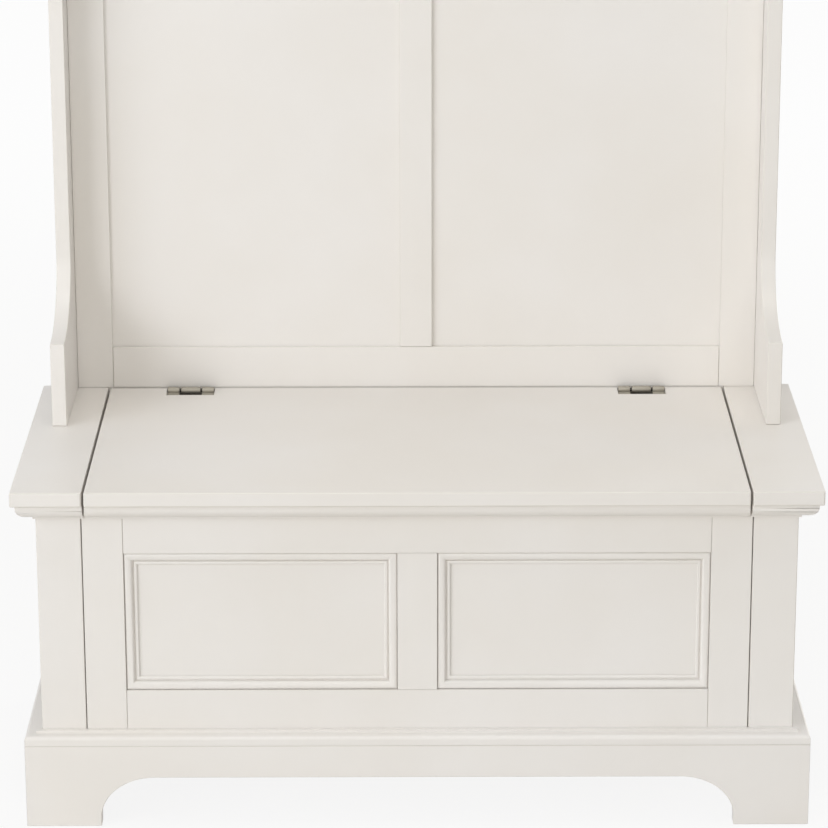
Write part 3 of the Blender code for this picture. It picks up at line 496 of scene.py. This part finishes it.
def addPlate(builder, outline, place, low, high):
    # outline in the plate's own plane; place turns (u, v, thickness) into x, y, z
    first = len(builder.verts)
    addLoft(builder, [[place(u, v, w) for u, v in outline] for w in (low, high)])
    builder.verts.ensure_lookup_table()
    fresh = set(builder.verts[first:])
    sharp = math.radians(boardEdges["sharp"])
    edges = [e for e in builder.edges if set(e.verts) <= fresh and e.calc_face_angle(0) > sharp]
    size = {"offset": hinge["plateEase"], "segments": hinge["plateSteps"], "profile": 0.5}
    bmesh.ops.bevel(builder, geom=edges, affect="EDGES", **size)


def addKnuckle(builder, start, end):
    bore, barrel, ease = hinge["bore"], hinge["barrel"], hinge["ease"]
    middle = ease * roundMiddle
    ring = [
        (start, bore),
        (start, barrel - ease),
        (start + middle, barrel - middle),
        (start + ease, barrel),
        (end - ease, barrel),
        (end - middle, barrel - middle),
        (end, barrel - ease),
        (end, bore),
    ]
    rings = []
    for i in range(hinge["sides"]):
        angle = 2 * math.pi * i / hinge["sides"]
        y, z = math.cos(angle), math.sin(angle)
        rings.append([(x, hinge["axisY"] + y * r, hinge["axisZ"] + z * r) for x, r in ring])
    addLoft(builder, rings, closed=True)


def frameLeafPattern():
    half, inner = hinge["halfWidth"], hinge["centreKnuckle"]
    low, high = hinge["frameZ"]
    outline = [(-half, low), (half, low), (half, high), (-half, high)]
    near, far = hinge["axisY"], hinge["frameY"][1] - hinge["tailInset"]
    tail = [(-inner, near), (inner, near), (inner, far), (-inner, far)]
    builder = bmesh.new()
    addPlate(builder, outline, lambda u, v, w: (u, w, v), *hinge["frameY"])
    addPlate(builder, tail, lambda u, v, w: (u, v, w), *hinge["leafZ"])
    addKnuckle(builder, -inner, inner)
    return patternObject("frameLeafPattern", builder)


def lidLeafPattern():
    half, inner = hinge["halfWidth"], hinge["outerKnuckle"]
    front, back = hinge["lidY"]
    far = hinge["axisY"]
    outline = [(-half, front), (half, front), (half, far), (inner, far), (inner, back), (-inner, back),
               (-inner, far), (-half, far)]
    builder = bmesh.new()
    addPlate(builder, outline, lambda u, v, w: (u, v, w), *hinge["leafZ"])
    addKnuckle(builder, -half, -inner)
    addKnuckle(builder, inner, half)
    return patternObject("lidLeafPattern", builder)


def pinPattern():
    half, radius, dome = hinge["halfWidth"], hinge["pin"], hinge["pinDome"]
    tip = [(half + dome * math.sin(a), radius * math.cos(a)) for a in hinge["domeAngles"]]
    profile = [(-along, r) for along, r in tip[::-1]] + tip
    builder = bmesh.new()
    addTurned(builder, (0, hinge["axisY"], hinge["axisZ"]), (1, 0, 0), profile, hinge["pinSides"])
    return patternObject("pinPattern", builder)


def buildHinges():
    first, step = (-hinge["middleX"], 0, 0), (2 * hinge["middleX"], 0, 0)
    kinds = (("hinge_frame_leaf", frameLeafPattern, satinNickel, "bench"),
             ("hinge_lid_leaf", lidLeafPattern, satinNickel, "lid"),
             ("hinge_pin", pinPattern, oiledSteel, "bench"))
    for node, pattern, metal, body in kinds:
        name = "finished_" + node
        piece = repeated(name, pattern(), first, step, hinge["count"], metal, body)
        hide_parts(node + "_left", node + "_right")


# Double coat hooks, cast and plated: a round-ended plate with two prongs that end in knobs
hook = {
    "railFit": 0.0003,          # between a plate and the hook rail
    "plateHeight": 0.090,
    "plateThick": 0.004,
    "plateEase": 0.0014,
    "easeAngles": (0.4, 0.8, 1.2, 1.57),        # radians, from the plate's side to its face
    "endSteps": 16,             # of the plate's round ends
    "prongRadius": 0.0042,
    "tipRadius": 0.0034,
    "prongSteps": 28,
    "prongSides": 28,
    "rootFlare": 0.0022,        # the casting swells where a prong leaves the plate
    "flareLength": 0.004,
    "neck": 1.02,               # a knob starts this many times as wide as the prong's tip
    "knobSteps": 16,
    "knobClose": 86,            # degrees from a knob's waist to the flat on its end
    "prongSpacing": 0.036,
    "upper": (0.070, 0.036, 0.004, 0.0075),     # reach, rise, sag, knob radius
    "lower": (0.034, 0.012, 0.006, 0.0055),
    "screwStep": 0.068,
}


def placeHooks():
    # the frame gives the row of hooks, the plate's width and its lower end
    low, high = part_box("coat_hook_1")
    hook["count"] = sum(node.startswith("coat_hook_") for node in nodes)
    hook["firstX"] = (low.x + high.x) / 2
    hook["stepX"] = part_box("coat_hook_2")[0].x - low.x
    hook["backY"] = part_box("hook_rail")[0].y - hook["railFit"]
    hook["middleZ"] = low.z + hook["plateHeight"] / 2
    hook["plateWidth"] = high.x - low.x


def curvePoint(points, t):
    p0, p1, p2, p3 = points
    s = 1 - t
    place = p0 * s**3 + p1 * (3 * s * s * t) + p2 * (3 * s * t * t) + p3 * t**3
    heading = (p1 - p0) * (s * s) + (p2 - p1) * (2 * s * t) + (p3 - p2) * (t * t)
    return place, heading.normalized()


def addProng(builder, root, reach, rise, sag, knob):
    path = [root, root + Vector((0, -reach / 2, -sag)), root + Vector((0, -reach, -sag)),
            root + Vector((0, -reach, rise))]
    stations = []
    for i in range(hook["prongSteps"] + 1):
        t = i / hook["prongSteps"]
        place, heading = curvePoint(path, t)
        flare = hook["rootFlare"] * math.exp(-(root - place).length / hook["flareLength"])
        stations.append((place, heading, hook["prongRadius"] * (1 - t) + hook["tipRadius"] * t + flare))
    end, heading = curvePoint(path, 1.0)
    first = -math.acos(hook["tipRadius"] * hook["neck"] / knob)
    last = math.radians(hook["knobClose"])
    for i in range(1, hook["knobSteps"] + 1):
        angle = first + (last - first) * i / hook["knobSteps"]
        lift = knob * (math.sin(angle) - math.sin(first))
        stations.append((end + heading * lift, heading, knob * math.cos(angle)))
    angles = [2 * math.pi * i / hook["prongSides"] for i in range(hook["prongSides"])]
    across = Vector((1, 0, 0))
    rings = []
    for place, heading, radius in stations:
        side, up = across * radius, heading.cross(across) * radius
        rings.append([place + side * math.cos(a) + up * math.sin(a) for a in angles])
    addLoft(builder, rings)


def hookPattern():
    radius, ease = hook["plateWidth"] / 2, hook["plateEase"]
    straight = hook["plateHeight"] / 2 - radius
    back, face = hook["backY"], hook["backY"] - hook["plateThick"]
    builder = bmesh.new()
    domed = [(0.0, back), (0.0, face + ease)]
    domed += [(ease * (1 - math.cos(a)), face + ease * (1 - math.sin(a))) for a in hook["easeAngles"]]
    rings = []
    for inset, y in domed:
        r = radius - inset
        ring = []
        for end, start in ((1, 0.0), (-1, math.pi)):
            for i in range(hook["endSteps"] + 1):
                a = start + math.pi * i / hook["endSteps"]
                ring.append((r * math.cos(a), y, hook["middleZ"] + end * straight + r * math.sin(a)))
        rings.append(ring)
    addLoft(builder, rings)
    middle = back - hook["plateThick"] / 2
    for end, sizes in ((1, hook["upper"]), (-1, hook["lower"])):
        root = Vector((0, middle, hook["middleZ"] + end * hook["prongSpacing"] / 2))
        addProng(builder, root, *sizes)
    return patternObject("hookPattern", builder)


def buildHooks():
    first, step = (hook["firstX"], 0, 0), (hook["stepX"], 0, 0)
    pattern, count = hookPattern(), hook["count"]
    piece = repeated("finished_coat_hooks", pattern, first, step, count, satinNickel, "bench")
    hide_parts(*("coat_hook_%d" % (i + 1) for i in range(hook["count"])))


# Lid bumpers: soft pads with rounded corners under the lid's front edge
bumper = {
    "count": 2,
    "ease": 0.0006,
    "sides": 40,
    "corner": 0.4,              # 1 would be an oval, and 0 a sharp oblong
}


def bumperPattern(middle, half):
    low, high = middle.z - half.z, middle.z + half.z
    ease = bumper["ease"]
    middleEase = ease * roundMiddle
    sections = [(high, 0.0), (low + ease, 0.0), (low + middleEase, middleEase), (low, ease)]
    rings = []
    for z, inset in sections:
        ring = []
        for i in range(bumper["sides"]):
            a = 2 * math.pi * i / bumper["sides"]
            c, s = math.cos(a), math.sin(a)
            u = math.copysign(abs(c) ** bumper["corner"], c) * (half.x - inset)
            v = math.copysign(abs(s) ** bumper["corner"], s) * (half.y - inset)
            ring.append((u, middle.y + v, z))
        rings.append(ring)
    builder = bmesh.new()
    addLoft(builder, rings)
    return patternObject("bumperPattern", builder)


def buildBumpers():
    low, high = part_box("lid_bumper_right")
    middle, half = (low + high) / 2, (high - low) / 2
    first, step = (-middle.x, 0, 0), (2 * middle.x, 0, 0)
    pad, count = bumperPattern(middle, half), bumper["count"]
    piece = repeated("finished_lid_bumpers", pad, first, step, count, bumperRubber, "lid")
    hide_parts("lid_bumper_left", "lid_bumper_right")


# Oval screw heads with a cross recess, standing on points that carry the way each one faces
screw = {
    "headRadius": 0.0031,
    "domeHeight": 0.0007,
    "slotLength": 0.0036,
    "slotWidth": 0.0008,
    "slotDepth": 0.0006,
    "seed": 11,                 # of the turn of each cross
    "segments": 32,
    "rings": 16,
}


def screwTree():
    tree = bpy.data.node_groups.new("screwHeads", "GeometryNodeTree")
    tree.interface.new_socket("Geometry", in_out="INPUT", socket_type="NodeSocketGeometry")
    for name in ("headRadius", "domeHeight", "slotLength", "slotWidth", "slotDepth"):
        tree.interface.new_socket(name, in_out="INPUT", socket_type="NodeSocketFloat")
    tree.interface.new_socket("seed", in_out="INPUT", socket_type="NodeSocketInt")
    tree.interface.new_socket("Finish", in_out="INPUT", socket_type="NodeSocketMaterial")
    tree.interface.new_socket("Geometry", in_out="OUTPUT", socket_type="NodeSocketGeometry")
    given = addNode(tree, "NodeGroupInput").outputs
    facets = {"Segments": screw["segments"], "Rings": screw["rings"], "Radius": 1.0}
    ball = addNode(tree, "GeometryNodeMeshUVSphere", facets)
    size = {"X": given["headRadius"], "Y": given["headRadius"], "Z": given["domeHeight"]}
    flat = addNode(tree, "ShaderNodeCombineXYZ", size).outputs[0]
    dome = addNode(tree, "GeometryNodeTransform", {"Geometry": ball.outputs["Mesh"], "Scale": flat})
    lift = addNode(tree, "ShaderNodeCombineXYZ", {"Z": given["domeHeight"]}).outputs[0]
    twice = {0: given["slotDepth"], 1: 2.0}
    deep = addNode(tree, "ShaderNodeMath", twice, operation="MULTIPLY").outputs[0]
    bars = []
    for across, along in (("slotLength", "slotWidth"), ("slotWidth", "slotLength")):
        sizes = {"X": given[across], "Y": given[along], "Z": deep}
        oblong = addNode(tree, "ShaderNodeCombineXYZ", sizes).outputs[0]
        bar = addNode(tree, "GeometryNodeMeshCube", {"Size": oblong})
        moved = {"Geometry": bar.outputs["Mesh"], "Translation": lift}
        bars.append(addNode(tree, "GeometryNodeTransform", moved).outputs["Geometry"])
    head = dome.outputs["Geometry"]
    for bar in bars:
        cut = {"Mesh 1": head, "Mesh 2": bar}
        head = addNode(tree, "GeometryNodeMeshBoolean", cut, solver="MANIFOLD").outputs["Mesh"]
    joined = {"Geometry": head, "Distance": weldDistance}
    head = addNode(tree, "GeometryNodeMergeByDistance", joined).outputs["Geometry"]
    aim = addNode(tree, "GeometryNodeInputNamedAttribute", {"Name": "aim"}, data_type="FLOAT_VECTOR")
    outward = {"Vector": aim.outputs["Attribute"]}
    facing = addNode(tree, "FunctionNodeAlignRotationToVector", outward, axis="Z")
    quarter = {2: 0.0, 3: math.pi / 2, "Seed": given["seed"]}   # 2 and 3 are the least and greatest turn
    turn = addNode(tree, "FunctionNodeRandomValue", quarter, data_type="FLOAT").outputs[1]
    spin = addNode(tree, "FunctionNodeAxisAngleToRotation", {"Axis": (0, 0, 1), "Angle": turn})
    both = {"Rotation": facing.outputs["Rotation"], "Rotate By": spin.outputs["Rotation"]}
    turned = addNode(tree, "FunctionNodeRotateRotation", both, rotation_space="LOCAL")
    placed = {"Points": given["Geometry"], "Instance": head, "Rotation": turned.outputs["Rotation"]}
    heads = addNode(tree, "GeometryNodeInstanceOnPoints", placed).outputs["Instances"]
    real = addNode(tree, "GeometryNodeRealizeInstances", {"Geometry": heads}).outputs["Geometry"]
    done = addNode(tree, "GeometryNodeSetMaterial", {"Geometry": real, "Material": given["Finish"]})
    addNode(tree, "NodeGroupOutput", {"Geometry": done.outputs["Geometry"]})
    return tree


def buildScrews():
    tree = screwTree()
    sides = [-hinge["middleX"], hinge["middleX"]]
    across = [middle + step * hinge["screwStep"] for middle in sides for step in (-1, 0, 1)]
    frameZ, lidY = sum(hinge["frameZ"]) / 2, sum(hinge["lidY"]) / 2
    hookX = [hook["firstX"] + i * hook["stepX"] for i in range(hook["count"])]
    hookZ = [hook["middleZ"] + end * hook["screwStep"] / 2 for end in (-1, 1)]
    hookFace = hook["backY"] - hook["plateThick"]
    sets = (
        ("hinge_frame_screws", [(x, hinge["frameY"][0], frameZ) for x in across], (0, -1, 0), "bench"),
        ("hinge_lid_screws", [(x, lidY, hinge["leafZ"][1]) for x in across], (0, 0, 1), "lid"),
        ("coat_hook_screws", [(x, hookFace, z) for x in hookX for z in hookZ], (0, -1, 0), "bench"),
    )
    for name, points, facing, body in sets:
        mesh = bpy.data.meshes.new(name)
        mesh.from_pydata(points, [], [])
        aim = mesh.attributes.new("aim", "FLOAT_VECTOR", "POINT")
        for item in aim.data:
            item.vector = facing
        grownByNodes(name, tree, {**screw, "Finish": satinNickel}, mesh, body)


placeHinges()
buildHinges()
placeHooks()
buildHooks()
buildBumpers()
buildScrews()
print("hinges, hooks, bumpers and screws made")

# The stage: a pale floor that keeps the shadow, and white behind it
stage = {
    "floorSize": 60.0,
    "floorTone": "#dddbd8",
    "floorRoughness": 0.8,
    "whiteShare": (0.88, 0.96),     # of the floor's look that is plain white, at the object and far off
    "whiteSpan": (1.0, 4.0),        # from the object's middle, where that share rises
    "worldTone": "#ffffff",
    "worldLight": 0.36,
}


def seenDirectly(tree):
    light = addNode(tree, "ShaderNodeLightPath")
    glossy = {0: light.outputs["Is Camera Ray"], 1: light.outputs["Is Glossy Ray"]}
    first = addNode(tree, "ShaderNodeMath", glossy, operation="MAXIMUM")
    through = {0: first.outputs[0], 1: light.outputs["Is Transmission Ray"]}
    return addNode(tree, "ShaderNodeMath", through, operation="MAXIMUM").outputs[0]


def floorMaterial():
    settings = {"Base Color": hexColour(stage["floorTone"]), "Roughness": stage["floorRoughness"]}
    material, tree, shader = emptyMaterial("paleFloor", settings)
    place = addNode(tree, "ShaderNodeTexCoord").outputs["Object"]
    away = addNode(tree, "ShaderNodeVectorMath", {0: place}, operation="LENGTH").outputs["Value"]
    near, far = stage["whiteSpan"]
    low, high = stage["whiteShare"]
    span = {"Value": away, "From Min": near, "From Max": far, "To Min": low, "To Max": high}
    rise = addNode(tree, "ShaderNodeMapRange", span, interpolation_type="SMOOTHSTEP")
    shown = {0: seenDirectly(tree), 1: rise.outputs["Result"]}
    share = addNode(tree, "ShaderNodeMath", shown, operation="MULTIPLY")
    white = addNode(tree, "ShaderNodeEmission", {"Color": (1, 1, 1, 1), "Strength": 1.0})
    looks = {0: share.outputs[0], 1: shader.outputs[0], 2: white.outputs[0]}
    mixed = addNode(tree, "ShaderNodeMixShader", looks)
    tree.links.new(mixed.outputs[0], tree.nodes["Material Output"].inputs["Surface"])
    return material


def buildFloor():
    builder = bmesh.new()
    bmesh.ops.create_grid(builder, x_segments=1, y_segments=1, size=stage["floorSize"] / 2)
    floor = finishMesh("stageFloor", builder, floorMaterial())


def buildWorld():
    world = bpy.data.worlds.new("studio")
    bpy.context.scene.world = world
    world.use_nodes = True
    tree = world.node_tree
    tree.nodes.clear()
    light = {"Color": hexColour(stage["worldTone"]), "Strength": stage["worldLight"]}
    ambient = addNode(tree, "ShaderNodeBackground", light)
    white = addNode(tree, "ShaderNodeBackground", {"Color": (1, 1, 1, 1), "Strength": 1.0})
    seen = {0: seenDirectly(tree), 1: ambient.outputs[0], 2: white.outputs[0]}
    mixed = addNode(tree, "ShaderNodeMixShader", seen)
    addNode(tree, "ShaderNodeOutputWorld", {"Surface": mixed.outputs[0]})


# Soft boxes: place, point that each faces, size, watts, colour
softBoxes = {
    "keyLeft": ((-3.3, -4.2, 2.0), (0.0, 0.0, 0.7), 1.8, 58.0, "#fcfdff"),
    "frontFill": ((0.4, -6.5, 1.0), (0.0, 0.0, 0.7), 3.0, 80.0, "#fffbf0"),
    "sideLeft": ((-4.6, -2.8, 2.6), (0.0, 0.0, 0.7), 2.4, 91.0, "#f6faff"),
    "overhead": ((0.2, -0.6, 4.8), (0.0, 0.0, 0.5), 2.6, 68.0, "#fffdf6"),
    "backRight": ((3.8, 3.2, 0.9), (0.0, 0.0, 0.8), 1.6, 92.0, "#fffdf8"),
}


def buildLights():
    for name, (place, target, size, watts, tone) in softBoxes.items():
        lamp = bpy.data.lights.new(name, "AREA")
        lamp.size = size
        lamp.energy = watts
        lamp.color = hexColour(tone)[:3]
        holder = bpy.data.objects.new(name, lamp)
        holder.location = place
        holder.rotation_euler = (Vector(target) - Vector(place)).to_track_quat("-Z", "Y").to_euler()
        bpy.context.collection.objects.link(holder)


# The photograph's view, fitted to the edges of the bench top, the front and the plinth
camera = {
    "place": (-0.0134, -4.5867, 1.9222),
    "yaw": -0.125,
    "pitch": -17.352,
    "roll": -0.095,
    "lens": 158.35,
    "sensor": 36.0,
}


def buildCamera():
    data = bpy.data.cameras.new("photoView")
    data.lens = camera["lens"]
    data.sensor_width = camera["sensor"]
    holder = bpy.data.objects.new("photoView", data)
    level = Matrix.Rotation(math.radians(90), 4, "X")
    pitch = Matrix.Rotation(math.radians(camera["pitch"]), 4, "X")
    roll = Matrix.Rotation(math.radians(camera["roll"]), 4, "Z")
    yaw = Matrix.Rotation(math.radians(camera["yaw"]), 4, "Z")
    holder.matrix_world = Matrix.Translation(camera["place"]) @ yaw @ level @ pitch @ roll
    bpy.context.collection.objects.link(holder)
    bpy.context.scene.camera = holder


buildFloor()
buildWorld()
buildLights()
buildCamera()
bpy.context.scene.view_settings.view_transform = "Standard"
print("stage, lights and camera set")
